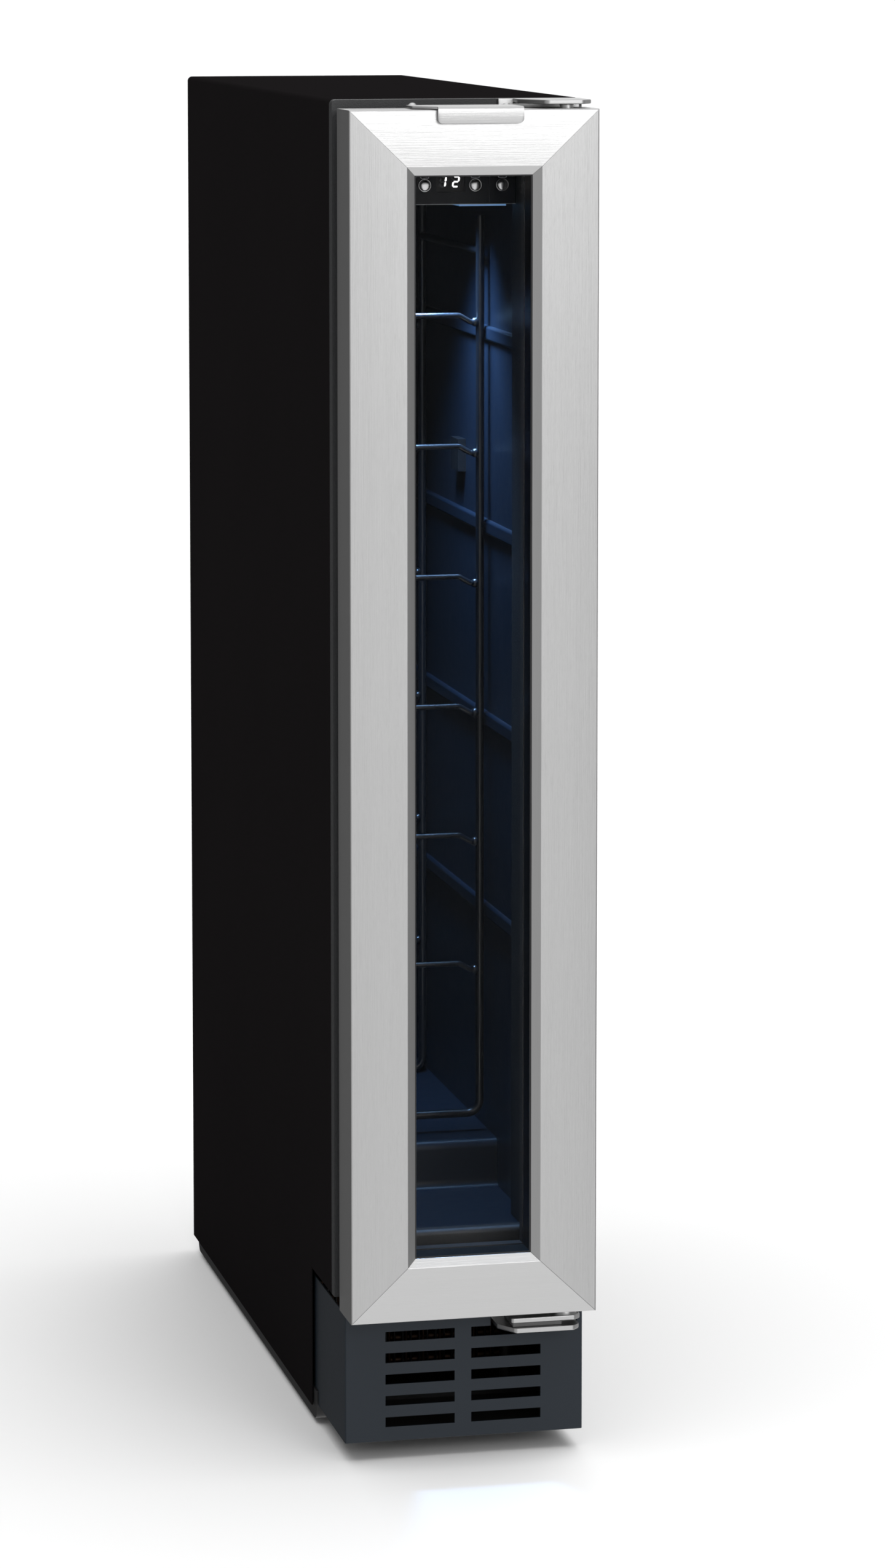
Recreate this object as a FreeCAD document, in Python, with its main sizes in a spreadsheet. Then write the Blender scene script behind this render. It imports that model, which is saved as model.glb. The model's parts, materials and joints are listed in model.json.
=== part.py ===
# Slim built-under wine cooler: one column of seven bottles behind a framed glass door.
# Millimetres. X points right, Y points back and Z up. The origin is on the floor, under the
# middle of the outer box. The door faces -Y and its hinges are on the right.
import FreeCAD, Part
import os
from types import SimpleNamespace

import Sketcher
from FreeCAD import Placement, Rotation, Vector

DRIVING = {
    # cabinet
    "cabinet_width": 148, "cabinet_top": 796, "cabinet_rear": 264, "skin": 1.0, "skin_radius": 3,
    "side_bottom": 10.2, "notch_depth": 61, "frame_front": -216, "frame_depth": 8, "frame_bottom": 95,
    "tray_bottom": 3, "tray_front": -155, "tray_rear": 252, "tray_height": 18, "tray_skin": 1.5,
    "tray_bend": 6, "deck_front": 107, "deck_rear": 139, "deck_step": -93,
    # refrigerated room
    "room_half": 48, "room_floor": 131, "room_top": 770, "room_rear": 205, "room_wall": 1.5,
    "step_front": -116, "step_top": 160, "mouth_half": 39.5, "mouth_floor": 131.5, "mouth_rear": -187,
    "mouth_round": 4, "rib_low": 292.5, "rib_pitch": 117.8, "rib_height": 9, "rib_proud": 2.5,
    # bottle rack
    "rack_front": -92, "rack_rear": 70, "rack_half": 42.4, "rack_low": 171, "rack_rod": 2.6,
    "rack_bend": 8, "wire_low": 264.4, "wire_pitch": 79.4, "wire_rod": 1.7, "wire_drop": 4.1,
    "wire_knob": 2.8, "rear_wire_drop": 13.2,
    # control panel
    "panel_front": -198, "panel_rear": -150, "panel_low": 734, "fascia": 3, "button_radius": 3.1,
    "button_height": 745.3, "button_proud": 1.5, "button_flange": 4.4,
    # door
    "door_width": 146, "door_low": 90, "door_high": 791.2, "door_front": -261, "door_back": -226,
    "window_half": 34.4, "window_low": 126.5, "window_high": 753.9, "bevel_width": 5,
    "bevel_depth": 3, "glass": 4, "glass_front": -256.9, "inner_glass_front": -237.1,
    "gasket_half": 58, "gasket_band": 10, "gasket_depth": 9.7,
    # hinges
    "hinge_x": 58, "hinge_y": -243, "pin_radius": 4, "running_gap": 0.05, "bush_radius": 6,
    "top_plate": 2.5, "screw_level": 790.8, "low_plate": 77.6, "hinge_plate": 3, "hinge_spacer": 2.6,
    "washer": 3.2,
    # plinth and rear
    "plinth_half": 71.4, "plinth_front": -235, "plinth_rear": -142, "plinth_low": 12,
    "plinth_top": 89, "slot_low": 20.4, "slot_height": 5.8, "slot_pitch": 12.8, "rear_skin": 1,
    # levelling feet
    "foot_x": 50, "foot_front": -130, "foot_rear": 226, "foot_radius": 12, "foot_stem": 4,
    "foot_length": 34,
    # refrigeration
    "compressor_radius": 52, "compressor_y": 140, "pipe_radius": 2.4, "fan_pin": 2,
}

doc = FreeCAD.newDocument("WineCooler")
sheet = doc.addObject("Spreadsheet::Sheet", "dims")
for row, (alias, number) in enumerate(DRIVING.items(), start=1):
    sheet.set(f"A{row}", alias)
    sheet.set(f"B{row}", str(number))
    sheet.setAlias(f"B{row}", alias)
doc.recompute()


class Size:
    """A length together with the spreadsheet formula that gives it."""

    def __init__(self, value, formula):
        self.value = value
        self.formula = formula

    @staticmethod
    def of(number):
        return number if isinstance(number, Size) else Size(float(number), f"({float(number)})")

    def joined(self, sign, other, value):
        return Size(value, f"({self.formula} {sign} {other.formula})")

    def __add__(self, other):
        other = Size.of(other)
        return self.joined("+", other, self.value + other.value)

    def __sub__(self, other):
        other = Size.of(other)
        return self.joined("-", other, self.value - other.value)

    def __mul__(self, other):
        other = Size.of(other)
        return self.joined("*", other, self.value * other.value)

    def __truediv__(self, other):
        other = Size.of(other)
        return self.joined("/", other, self.value / other.value)

    def __neg__(self):
        return self * -1

    def __rsub__(self, other):
        return Size.of(other) - self

    __radd__ = __add__
    __rmul__ = __mul__


d = SimpleNamespace(**{alias: Size(float(number), f"dims.{alias}") for alias, number in DRIVING.items()})
subparts = []


# ---------------------------------------------------------------- drawing helpers

def bind(thing, prop, size):
    thing.setExpression(prop, Size.of(size).formula)


def finished(thing, label):
    """Gives a finished piece its name and lists it for export."""
    thing.Label = label
    subparts.append(thing)
    return thing


def place(thing, corner):
    for axis, size in zip("xyz", corner):
        bind(thing, f"Placement.Base.{axis}", size)
    return thing


def block(name, low, high):
    """A box between its lowest and its highest corner."""
    box = doc.addObject("Part::Box", name)
    for prop, start, end in zip(("Length", "Width", "Height"), low, high):
        bind(box, prop, Size.of(end) - start)
    return place(box, low)


LEAN = {"x": Rotation(Vector(0, 1, 0), 90), "y": Rotation(Vector(1, 0, 0), -90), "z": Rotation()}


def rod(name, start, radius, length, axis="z"):
    """A cylinder that starts at a point and runs along an axis."""
    cylinder = doc.addObject("Part::Cylinder", name)
    bind(cylinder, "Radius", radius)
    bind(cylinder, "Height", length)
    cylinder.Placement = Placement(Vector(), LEAN[axis])
    return place(cylinder, start)


def fused(name, *pieces):
    fuse = doc.addObject("Part::MultiFuse", name)
    fuse.Shapes = list(pieces)
    return fuse


def without(name, base, *tools):
    """The base with the tools cut away."""
    cut = doc.addObject("Part::Cut", name)
    cut.Base = base
    cut.Tool = tools[0] if len(tools) == 1 else fused(f"{name}_tools", *tools)
    return cut


def part_body(name):
    return doc.addObject("PartDesign::Body", name)


def sketched(body, plane, offset, outlines=(), circles=()):
    """A sketch of straight-sided outlines and circles, every point tied to the spreadsheet."""
    sketch = body.newObject("Sketcher::SketchObject", f"{body.Name}_outline")
    origin_plane = [item for item in body.Origin.OriginFeatures if item.Role == plane][0]
    sketch.AttachmentSupport = [(origin_plane, "")]
    sketch.MapMode = "FlatFace"
    bind(sketch, "AttachmentOffset.Base.z", offset)

    def tie(kind, geometry, point, size):
        size = Size.of(size)
        number = sketch.addConstraint(Sketcher.Constraint(kind, -1, 1, geometry, point, size.value))
        sketch.setExpression(f"Constraints[{number}]", size.formula)

    for corners in outlines:
        points = [Vector(Size.of(u).value, Size.of(v).value, 0) for u, v in corners]
        first = sketch.GeometryCount
        for start, end in zip(points, points[1:] + points[:1]):
            sketch.addGeometry(Part.LineSegment(start, end))
        for index in range(len(points)):
            following = first + (index + 1) % len(points)
            sketch.addConstraint(Sketcher.Constraint("Coincident", first + index, 2, following, 1))
        for index, (u, v) in enumerate(corners):
            tie("DistanceX", first + index, 1, u)
            tie("DistanceY", first + index, 1, v)
    for u, v, radius in circles:
        centre = Vector(Size.of(u).value, Size.of(v).value, 0)
        radius = Size.of(radius)
        circle = sketch.addGeometry(Part.Circle(centre, Vector(0, 0, 1), radius.value))
        tie("DistanceX", circle, 3, u)
        tie("DistanceY", circle, 3, v)
        number = sketch.addConstraint(Sketcher.Constraint("Radius", circle, radius.value))
        sketch.setExpression(f"Constraints[{number}]", radius.formula)
    return sketch


def add(body, plane, low, high, *outlines, circles=()):
    """Pads a sketch between two places on the axis across its plane."""
    offset = -Size.of(high) if plane == "XZ_Plane" else low
    pad = body.newObject("PartDesign::Pad", f"{body.Name}_pad")
    pad.Profile = sketched(body, plane, offset, outlines, circles)
    bind(pad, "Length", Size.of(high) - low)
    return pad


def take(body, plane, low, high, *outlines, circles=()):
    """Pockets a sketch between two places on the axis across its plane."""
    doc.recompute()
    before = body.Shape.Volume
    offset = -Size.of(low) if plane == "XZ_Plane" else high
    profile = sketched(body, plane, offset, outlines, circles)
    pocket = body.newObject("PartDesign::Pocket", f"{body.Name}_pocket")
    pocket.Profile = profile
    bind(pocket, "Length", Size.of(high) - low)
    doc.recompute()
    if not body.Shape.Volume < before - 0.01:
        raise RuntimeError(f"a pocket of {body.Name} cuts nothing")
    return pocket


def soften(body, radius, chosen):
    """Rounds the edges whose middle point and direction are chosen."""
    doc.recompute()
    base = body.Tip
    names = []
    for number, edge in enumerate(base.Shape.Edges, start=1):
        if edge.Curve.TypeId != "Part::GeomLine":
            continue
        middle = edge.CenterOfMass
        along = edge.Vertexes[-1].Point - edge.Vertexes[0].Point
        if chosen(middle, along.normalize()):
            names.append(f"Edge{number}")
    fillet = body.newObject("PartDesign::Fillet", f"{body.Name}_round")
    fillet.Base = (base, names)
    bind(fillet, "Radius", radius)
    doc.recompute()
    if not names or "Invalid" in fillet.State:
        raise RuntimeError(f"a rounding of {body.Name} fails on {len(names)} edges")
    return fillet


def near(value, size, slack=0.05):
    return abs(value - Size.of(size).value) < slack


def frame_outline(left, right, low, high):
    return [(left, low), (right, low), (right, high), (left, high)]


def bent_rod(points, radius, bend):
    """A round rod along straight runs with rounded corners between them."""
    points = [Vector(*(Size.of(size).value for size in point)) for point in points]
    radius, bend = Size.of(radius).value, Size.of(bend).value
    edges = []
    start = points[0]
    for before, corner, after in zip(points, points[1:], points[2:]):
        into = (corner - before).normalize()
        out = (after - corner).normalize()
        reach = bend * ((1 - into.dot(out)) / (1 + into.dot(out))) ** 0.5
        first, last = corner - into * reach, corner + out * reach
        inward = (out - into).normalize()
        middle = corner + inward * (bend / ((1 + into.dot(out)) / 2) ** 0.5 - bend)
        edges += [Part.LineSegment(start, first).toShape(), Part.Arc(first, middle, last).toShape()]
        start = last
    edges.append(Part.LineSegment(start, points[-1]).toShape())
    section = Part.Wire(Part.Circle(points[0], points[1] - points[0], radius).toShape())
    return Part.Wire(edges).makePipeShell([section], True, False)


def shaped(name, shape, placement=Placement()):
    piece = doc.addObject("Part::Feature", name)
    piece.Shape = shape
    piece.Placement = placement
    return piece


# ---------------------------------------------------------------- cabinet

half = d.cabinet_width / 2
skin_inside = half - d.skin
frame_rear = d.frame_front + d.frame_depth
rear_inside = d.cabinet_rear - 2
tray_rim = d.tray_bottom + d.tray_height


def outer_shell():
    """Two sides and the top, bent from one sheet, with the front foot of each side cut away."""
    body = part_body("outer_shell")
    inside_top = d.cabinet_top - d.skin
    add(body, "XZ_Plane", frame_rear, d.cabinet_rear,
        [(-half, d.side_bottom), (-half, d.cabinet_top), (half, d.cabinet_top), (half, d.side_bottom),
         (skin_inside, d.side_bottom), (skin_inside, inside_top), (-skin_inside, inside_top),
         (-skin_inside, d.side_bottom)])
    soften(body, d.skin_radius, lambda p, a: abs(a.y) > 0.9 and near(p.z, d.cabinet_top))
    soften(body, d.skin_radius - d.skin, lambda p, a: abs(a.y) > 0.9 and near(p.z, inside_top))
    take(body, "YZ_Plane", -half - 1, half + 1,
         frame_outline(frame_rear - 1, frame_rear + d.notch_depth, d.side_bottom - 1, d.frame_bottom))
    finished(body, "outer_shell")


def rear_sheets():
    """The back panel, and below it the vented cover of the machine compartment."""
    body = part_body("back_panel")
    add(body, "XZ_Plane", rear_inside, rear_inside + d.rear_skin,
        frame_outline(-skin_inside + 0.1, skin_inside - 0.1, d.deck_rear, d.cabinet_top - 3.1))
    finished(body, "back_panel")
    body = part_body("rear_cover")
    add(body, "XZ_Plane", rear_inside, rear_inside + d.rear_skin,
        frame_outline(-skin_inside + 0.4, skin_inside - 0.4, tray_rim, d.deck_rear - 0.4))
    vents = [frame_outline(left, left + 40, 74 + row * 10, 79 + row * 10)
             for row in range(6) for left in (-56, 8)]
    take(body, "XZ_Plane", rear_inside - 1, rear_inside + 2,
         *vents, frame_outline(29, 59, 27, 55))
    finished(body, "rear_cover")


def base_tray():
    """A shallow pressed tray under everything, with a threaded hole for each foot."""
    body = part_body("base_tray")
    floor = d.tray_bottom + d.tray_skin
    add(body, "YZ_Plane", -skin_inside + 0.4, skin_inside - 0.4,
        frame_outline(d.tray_front, d.tray_rear, d.tray_bottom, tray_rim))
    inside = skin_inside - 0.4 - d.tray_skin
    take(body, "YZ_Plane", -inside, inside,
         frame_outline(d.tray_front + d.tray_skin, d.tray_rear - d.tray_skin, floor, tray_rim + 1))
    soften(body, d.tray_bend - d.tray_skin, lambda p, a: abs(a.x) > 0.9 and near(p.z, floor))
    soften(body, d.tray_bend, lambda p, a: abs(a.x) > 0.9 and near(p.z, d.tray_bottom))
    holes = [(x, y, d.foot_stem + d.running_gap)
             for x in (-d.foot_x, d.foot_x) for y in (d.foot_front, d.foot_rear)]
    take(body, "XY_Plane", d.tray_bottom - 1, floor + 1, circles=holes)
    finished(body, "base_tray")


def insulation_foam():
    """Foam between the shell and the room, stepped over the machine compartment."""
    body = part_body("insulation_foam")
    top = d.cabinet_top - d.skin
    add(body, "YZ_Plane", -skin_inside, skin_inside,
        [(frame_rear, d.deck_front), (d.deck_step, d.deck_front), (d.deck_step, d.deck_rear),
         (rear_inside, d.deck_rear), (rear_inside, top), (frame_rear, top)])
    soften(body, d.skin_radius - d.skin, lambda p, a: abs(a.y) > 0.9 and near(p.z, top))
    wall = d.room_wall
    take(body, "YZ_Plane", -d.room_half - wall, d.room_half + wall,
         [(frame_rear - 1, d.room_floor - wall), (d.step_front + wall, d.room_floor - wall),
          (d.step_front + wall, d.step_top - wall), (d.room_rear + wall, d.step_top - wall),
          (d.room_rear + wall, d.room_top + wall), (frame_rear - 1, d.room_top + wall)])
    finished(body, "insulation_foam")


def inner_liner():
    """The moulded room: floor, step over the compressor, walls with ribs, rear and ceiling."""
    body = part_body("inner_liner")
    wall = d.room_wall
    add(body, "YZ_Plane", -d.room_half - wall, d.room_half + wall,
        [(frame_rear, d.room_floor - wall), (d.step_front + wall, d.room_floor - wall),
         (d.step_front + wall, d.step_top - wall), (d.room_rear + wall, d.step_top - wall),
         (d.room_rear + wall, d.room_top + wall), (frame_rear, d.room_top + wall)])
    take(body, "YZ_Plane", -d.room_half, d.room_half,
         [(frame_rear - 1, d.room_floor), (d.step_front, d.room_floor), (d.step_front, d.step_top),
          (d.room_rear, d.step_top), (d.room_rear, d.room_top), (frame_rear - 1, d.room_top)])
    soften(body, 5, lambda p, a: abs(a.x) > 0.9 and near(p.y, d.step_front)
           and (near(p.z, d.step_top) or near(p.z, d.room_floor)))
    ribs = []
    for index in range(4):
        low = d.rib_low + d.rib_pitch * index
        for side in (-1, 1):
            ribs.append(frame_outline(side * (d.room_half - d.rib_proud), side * (d.room_half + 0.5),
                                      low, low + d.rib_height))
    add(body, "XZ_Plane", -180, 176, *ribs)
    soften(body, 1.8, lambda p, a: abs(a.y) > 0.9 and near(abs(p.x), d.room_half - d.rib_proud))
    finished(body, "inner_liner")


def liner_front_frame():
    """The moulded frame round the mouth, with a lip that reaches into the room at each side."""
    body = part_body("liner_front_frame")
    add(body, "XZ_Plane", d.frame_front, frame_rear,
        frame_outline(-half + 0.2, half - 0.2, d.frame_bottom, d.cabinet_top - 0.2))
    soften(body, d.skin_radius, lambda p, a: abs(a.y) > 0.9 and near(p.z, d.cabinet_top - 0.2))
    take(body, "XZ_Plane", d.frame_front - 1, frame_rear + 1,
         frame_outline(-d.mouth_half, d.mouth_half, d.mouth_floor, d.room_top))
    soften(body, d.mouth_round, lambda p, a: near(p.y, d.frame_front)
           and abs(p.x) < d.mouth_half.value + 0.1 and d.frame_bottom.value + 1 < p.z < 771)
    lips = [frame_outline(side * d.mouth_half, side * (d.mouth_half + 3), d.mouth_floor, d.room_top - 0.2)
            for side in (-1, 1)]
    add(body, "XZ_Plane", frame_rear - 0.5, d.mouth_rear, *lips)
    take(body, "XZ_Plane", d.frame_front - 1, d.frame_front + 7, circles=[(-26.6, d.screw_level, 1.6)])
    finished(body, "liner_front_frame")


# ---------------------------------------------------------------- inside the room

def rack_frame(name, y, low, wire_low):
    """A U of rod in three lengths, and six cross wires with dipped ends and a knob at each weld."""
    top = d.panel_low - 12
    rail = bent_rod([(-d.rack_half, y, top), (-d.rack_half, y, low), (d.rack_half, y, low),
                     (d.rack_half, y, top)], d.rack_rod, d.rack_bend)
    half = d.rack_half - d.rack_bend - 4.4
    floor = Part.makeBox((half * 2).value, 20, 20, Vector(-half.value, Size.of(y).value - 10, low.value - 10))
    solids = [rail.common(floor).Solids[0], *rail.cut(floor).Solids]
    inside = d.rack_half - d.rack_rod + 0.6
    for index in range(6):
        level = wire_low + d.wire_pitch * index
        ends = level - d.wire_drop
        wire = bent_rod(
            [(-inside, y, ends), (-inside + 4, y, ends), (-inside + 11, y, level), (inside - 11, y, level),
             (inside - 4, y, ends), (inside, y, ends)], d.wire_rod, 4)
        for side in (-1, 1):
            centre = Vector((side * (inside - 1)).value, Size.of(y).value, ends.value)
            wire = wire.fuse(Part.makeSphere(d.wire_knob.value, centre))
        solids += wire.removeSplitter().cut(rail).Solids
    if len(solids) != 9 or not all(solid.isValid() for solid in solids):
        raise ValueError(f"{name}: {len(solids)} solids")
    finished(shaped(name, Part.makeCompound(solids)), name)


def rack():
    rack_frame("rack_front_frame", d.rack_front, d.rack_low, d.wire_low)
    rack_frame("rack_rear_frame", d.rack_rear, d.step_top + d.rack_rod, d.wire_low - d.rear_wire_drop)
    for side, word in ((-1, "left"), (1, "right")):
        start = (side * d.rack_half, d.rack_front + d.rack_rod - 0.2, 700)
        span = d.rack_rear - d.rack_front - d.rack_rod * 2 + 0.4
        rail = rod(f"rack_rail_{word}", start, 2.2, span, "y")
        finished(rail, f"rack_rail_{word}")


def evaporator():
    """The cold plate at the back of the room, its cover and the fan that blows through it."""
    finished(block("evaporator_plate", (-40, 199, 200), (40, 203, 700)), "evaporator_plate")
    body = part_body("evaporator_cover")
    add(body, "XZ_Plane", 178, d.room_rear, frame_outline(-46, 46, 180, 740))
    take(body, "XZ_Plane", 180, d.room_rear + 1, frame_outline(-44, 44, 182, 738))
    soften(body, 2, lambda p, a: near(p.y, 178))
    slots = [frame_outline(-30, 30, 220 + 14 * row, 225 + 14 * row) for row in range(8)]
    take(body, "XZ_Plane", 177, 181, *slots, circles=[(0, 600, 28)])
    finished(body, "evaporator_cover")
    fan("evaporator_fan", (0, 180, 600), 30, 12, 27)
    finished(block("temperature_sensor", (d.room_half - 5, -30, 560), (d.room_half, -10, 580)),
             "temperature_sensor")


def fan_frame(name, centre, half_side, depth, tip):
    """A square fan frame with four windows round the pin that carries the rotor."""
    x, y, z = centre
    body = part_body(f"{name}_frame")
    rear = y + depth
    add(body, "XZ_Plane", y, rear, frame_outline(x - half_side, x + half_side, z - half_side, z + half_side))
    take(body, "XZ_Plane", y - 1, rear - 2, circles=[(x, z, tip + 1)])
    reach = tip * 0.62
    windows = [frame_outline(x + across * 9, x + across * reach, z + up * 4, z + up * reach)
               for across in (-1, 1) for up in (-1, 1)]
    take(body, "XZ_Plane", rear - 3, rear + 1, *windows)
    add(body, "XZ_Plane", y + 3, rear - 1.5, circles=[(x, z, d.fan_pin)])
    finished(body, f"{name}_frame")


def fan_rotor(name, centre, depth, tip):
    """A hub that turns on the frame's pin, with seven leaning blades."""
    x, y, z = centre
    hub = tip * 0.4
    height = depth - 5
    solid = rod(f"{name}_hub", (x, y + 1, z), hub, depth - 4, "y")
    bore = rod(f"{name}_bore", (x, y + 2, z), d.fan_pin + d.running_gap, depth - 4, "y")
    blades = []
    middle = Vector(x, y + 1 + (depth - 4) / 2, z)
    for index in range(7):
        blade = Part.makeBox(tip - hub + 1.5, 1.6, height, Vector(hub - 1.5, -0.8, -height / 2))
        turn = Rotation(Vector(0, 1, 0), index * 360 / 7) * Rotation(Vector(1, 0, 0), 55)
        blades.append(shaped(f"{name}_blade", blade, Placement(middle, turn)))
    finished(without(f"{name}_turned", fused(f"{name}_solid", solid, *blades), bore), f"{name}_rotor")


def fan(name, centre, half_side, depth, tip):
    fan_frame(name, centre, half_side, depth, tip)
    fan_rotor(name, centre, depth, tip)


def control_panel():
    """A box under the front of the ceiling: fascia, three buttons, display, board and lamp."""
    fascia_rear = d.panel_front + d.fascia
    side = d.mouth_half - 0.3
    buttons = (("light_button", -15.2), ("down_button", 14.9), ("power_button", 31))
    body = part_body("control_housing")
    add(body, "XZ_Plane", fascia_rear, d.panel_rear, frame_outline(-side, side, d.panel_low + 1, 769.8))
    take(body, "XZ_Plane", fascia_rear - 1, d.panel_rear - 2,
         frame_outline(-side + 2, side - 2, d.panel_low + 3, 767.8))
    finished(body, "control_housing")
    body = part_body("control_fascia")
    add(body, "XZ_Plane", d.panel_front, fascia_rear, frame_outline(-side, side, d.panel_low, 769.8))
    soften(body, 0.8, lambda p, a: near(p.y, d.panel_front))
    take(body, "XZ_Plane", d.panel_front - 1, fascia_rear + 1, frame_outline(-8.4, 8.6, 741.4, 755),
         circles=[(x, d.button_height, d.button_radius + d.running_gap) for _, x in buttons])
    finished(body, "control_fascia")
    finished(block("display_module", (-8.3, d.panel_front + 0.5, 741.5), (8.5, -182, 754.9)),
             "display_module")
    finished(block("control_board", (-34, -181.5, 738), (34, -179.9, 766)), "control_board")
    for name, x in buttons:
        front = d.panel_front - d.button_proud
        cap = rod(f"{name}_cap", (x, front, d.button_height), d.button_radius,
                  d.button_proud + d.fascia + 1, "y")
        flange = rod(f"{name}_flange", (x, fascia_rear + 0.35, d.button_height), d.button_flange, 1, "y")
        stem = rod(f"{name}_stem", (x, fascia_rear, d.button_height), 1.5, 11.5, "y")
        finished(fused(f"{name}_whole", cap, flange, stem), name)
    finished(block("led_diffuser", (8, -186, d.panel_low - 1.6), (36, -166, d.panel_low + 1)),
             "led_diffuser")


# ---------------------------------------------------------------- machine compartment

def compressor():
    """A sealed can of two pressed halves on a foot plate with four rubber feet."""
    y = d.compressor_y
    can = part_body("compressor_can")
    profile = sketched(can, "XZ_Plane", 0, [[
        (0, 16), (38, 16), (d.compressor_radius, 34), (d.compressor_radius, 68),
        (d.compressor_radius + 2.5, 68), (d.compressor_radius + 2.5, 72), (d.compressor_radius, 72),
        (d.compressor_radius, 98), (34, 118), (0, 122)]])
    turned = can.newObject("PartDesign::Revolution", "compressor_turned")
    turned.Profile = profile
    turned.ReferenceAxis = (profile, ["V_Axis"])
    turned.Angle = 360
    place(can, (0, y, 0))
    plate = block("compressor_plate", (-62, y - 46, 12), (62, y + 46, 16))
    feet = [rod("compressor_foot", (x, y + back, d.tray_bottom + d.tray_skin), 7, 8.5)
            for x in (-54, 54) for back in (-38, 38)]
    finished(fused("compressor_whole", can, plate, *feet), "compressor")


def refrigerant_circuit():
    """Condenser with its wires, filter dryer, suction pipe, water tray and drain."""
    span = 58
    levels = [20 + 14 * index for index in range(6)]
    points = []
    for index, level in enumerate(levels):
        ends = (-span, span) if index % 2 == 0 else (span, -span)
        points += [(ends[0], -96, level), (ends[1], -96, level)]
    coil = bent_rod(points, d.pipe_radius, 6.9)
    for index in range(10):
        x = -span + 10 + index * (2 * span - 20) / 9
        coil = coil.fuse(Part.makeCylinder(1, 84, Vector(x, -98.7, 13)))
    finished(shaped("condenser_coil", coil), "condenser_coil")
    dryer = [rod("dryer_can", (-61, 40, 30), 9, 60), rod("dryer_inlet", (-61, 40, 20), 3, 12),
             rod("dryer_outlet", (-61, 40, 88), 2, 14)]
    finished(fused("dryer_whole", *dryer), "filter_dryer")
    pipe = bent_rod([(20, d.compressor_y + d.compressor_radius - 1, 84), (20, 225, 84),
                     (20, 225, d.deck_rear)], 3, 14)
    finished(shaped("suction_pipe", pipe), "suction_pipe")
    tray = without("tray_hollow", block("tray_outside", (-44, 100, 123), (44, 186, 137)),
                   block("tray_inside", (-42, 102, 125), (42, 184, 138)))
    finished(tray, "evaporation_tray")
    drain = without("drain_bore", rod("drain_outside", (-30, 170, 129), 5, 10),
                    rod("drain_inside", (-30, 170, 128), 3.5, 12))
    finished(drain, "drain_tube")


def electrics():
    """The control box and the three-pin inlet socket in the rear cover."""
    finished(block("electronics_box", (8, 16, 78), (66, 70, d.deck_rear)), "electronics_box")
    outside = block("inlet_outside", (29.4, 236, 27.4), (58.6, rear_inside + d.rear_skin, 54.6))
    collar = block("inlet_collar", (26, rear_inside + d.rear_skin, 24), (62, d.cabinet_rear, 58))
    hollow = block("inlet_hollow", (32, 246, 33), (56, d.cabinet_rear + 1, 49))
    shell = without("inlet_shell", fused("inlet_block", outside, collar), hollow)
    blades = [block("inlet_blade", (x - 1, 245, z - 2), (x + 1, 255, z + 2))
              for x, z in ((37, 39), (44, 43), (51, 39))]
    finished(fused("inlet_whole", shell, *blades), "mains_inlet")


def plinth_grille():
    """A bent sheet below the door with two columns of air slots, notched round the hinge."""
    body = part_body("plinth_grille")
    front, inner = d.plinth_front, d.plinth_half - d.skin
    add(body, "XY_Plane", d.plinth_low, d.plinth_top,
        [(-d.plinth_half, front), (d.plinth_half, front), (d.plinth_half, d.plinth_rear),
         (inner, d.plinth_rear), (inner, front + d.skin), (-inner, front + d.skin),
         (-inner, d.plinth_rear), (-d.plinth_half, d.plinth_rear)])
    soften(body, 1, lambda p, a: abs(a.z) > 0.9 and near(p.y, front))
    slots = []
    for index in range(5):
        low = d.slot_low + d.slot_pitch * index
        for left, right in ((-47.2, -5.8), (4.3, 46)):
            slots.append(frame_outline(left, right, low, low + d.slot_height))
    take(body, "XZ_Plane", front - 1, front + 2, *slots[:-1])
    take(body, "XZ_Plane", front - 1, front + 2,
         [(4.3, slots[-1][0][1]), (46, slots[-1][0][1]), (46, d.low_plate - 0.4), (68, d.low_plate - 0.4),
          (68, d.plinth_top + 1), (16, d.plinth_top + 1), (16, slots[-1][2][1]), (4.3, slots[-1][2][1])])
    take(body, "YZ_Plane", -half, half,
         frame_outline(d.tray_front - 0.5, d.plinth_rear + 1, d.plinth_low - 1, tray_rim))
    finished(body, "plinth_grille")


def levelling_feet():
    """A pad on a threaded stem at each corner, screwed right up."""
    pad_top = d.tray_bottom - 0.35
    for front, y in (("front", d.foot_front), ("rear", d.foot_rear)):
        for word, side in (("left", -1), ("right", 1)):
            name = f"foot_{front}_{word}"
            x = side * d.foot_x
            pad = rod(f"{name}_pad", (x, y, 0), d.foot_radius, pad_top)
            stem = rod(f"{name}_stem", (x, y, 1), d.foot_stem, d.foot_length)
            finished(fused(f"{name}_whole", pad, stem), name)


# ---------------------------------------------------------------- hinges

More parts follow.
